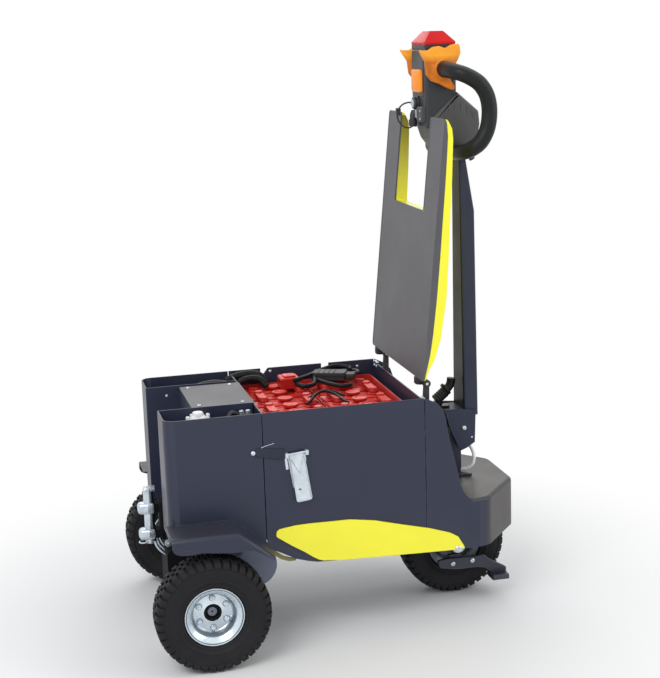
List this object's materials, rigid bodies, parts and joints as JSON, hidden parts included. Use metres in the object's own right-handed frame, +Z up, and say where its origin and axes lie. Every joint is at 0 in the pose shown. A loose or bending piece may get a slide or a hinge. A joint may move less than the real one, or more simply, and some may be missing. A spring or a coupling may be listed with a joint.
{
  "type": "electric pedestrian baggage tug",
  "caption": "Three-wheeled walk-behind electric tug with a jaw coupling in front, a traction battery under an open hinged lid, a swivel castor and a tilting tiller.",
  "frame": {"origin": "on the floor, under the middle of the machine's outer box", "axes": "+X from the coupling towards the tiller and the operator, +Y to the machine's far side, +Z up"},
  "size_m": [0.91, 0.661, 1.37],
  "materials": {
    "body_paint": "satin",
    "cover_grey": "satin",
    "yellow_paint": "gloss",
    "zinc": "bright zinc",
    "dark_steel": "satin",
    "tiller_paint": "satin",
    "black_plastic": "matte",
    "white_plastic": "matte",
    "red_paint": "satin",
    "red_plastic": "gloss",
    "orange_plastic": "satin",
    "tyre": "rubber"
  },
  "bodies": {
    "chassis": {"chassis_frame": "body_paint", "front_pod_left": "body_paint", "front_pod_right": "body_paint", "side_panel_left": "body_paint", "side_panel_right": "body_paint", "rear_cowl": "body_paint", "battery_bay_walls": "body_paint", "coupling_bulkhead": "body_paint", "control_cover": "cover_grey", "charge_socket": "white_plastic", "relay": "black_plastic", "battery_tray": "red_paint", "battery_cells": "red_plastic", "battery_links": "red_plastic", "battery_plug": "black_plastic", "hinge_brackets": "dark_steel", "side_trims": "yellow_paint", "latches": "zinc", "latch_straps": "dark_steel", "axle_housing": "dark_steel", "drive_motor": "dark_steel", "castor_mount": "zinc", "tiller_post": "dark_steel", "conduit": "white_plastic", "coupling": "zinc", "coupling_pin": "zinc"},
    "lid": {"lid_hood": "yellow_paint", "lid_panel": "cover_grey", "lid_hinges": "dark_steel"},
    "wheel_left": {"tyre_left": "tyre", "rim_left": "zinc", "hub_left": "dark_steel"},
    "wheel_right": {"tyre_right": "tyre", "rim_right": "zinc", "hub_right": "dark_steel"},
    "castor": {"castor_fork": "dark_steel", "castor_axle": "zinc", "castor_pedal": "dark_steel"},
    "castor_wheel": {"castor_tyre": "tyre", "castor_rim": "zinc"},
    "tiller": {"tiller_bracket": "tiller_paint", "pivot_bolt": "zinc", "tilt_lock": "black_plastic", "tiller_column": "tiller_paint", "tiller_bowl": "black_plastic", "tiller_head": "black_plastic", "head_cap": "red_plastic", "head_button": "orange_plastic", "key_switch": "black_plastic", "handle_left": "black_plastic", "handle_right": "black_plastic", "speed_knob_left": "orange_plastic", "speed_knob_right": "orange_plastic"}
  },
  "joints": [
    {"name": "lid_hinge", "type": "hinge", "parent": "chassis", "child": "lid", "pos_m": [0.212, 0, 0.578], "axis": [0, -1, 0], "range_deg": [0, 95.8]},
    {"name": "wheel_left_spin", "type": "hinge", "parent": "chassis", "child": "wheel_left", "pos_m": [-0.325, -0.288, 0.13], "axis": [0, 1, 0], "continuous": true},
    {"name": "wheel_right_spin", "type": "hinge", "parent": "chassis", "child": "wheel_right", "pos_m": [-0.325, 0.288, 0.13], "axis": [0, 1, 0], "continuous": true},
    {"name": "castor_swivel", "type": "hinge", "parent": "chassis", "child": "castor", "pos_m": [0.261, 0, 0.2], "axis": [0, 0, 1], "continuous": true},
    {"name": "castor_spin", "type": "hinge", "parent": "castor", "child": "castor_wheel", "pos_m": [0.321, 0, 0.13], "axis": [0, 1, 0], "continuous": true},
    {"name": "tiller_tilt", "type": "hinge", "parent": "chassis", "child": "tiller", "pos_m": [0.346, 0, 0.424], "axis": [0, 1, 0], "range_deg": [0, 75]}
  ]
}
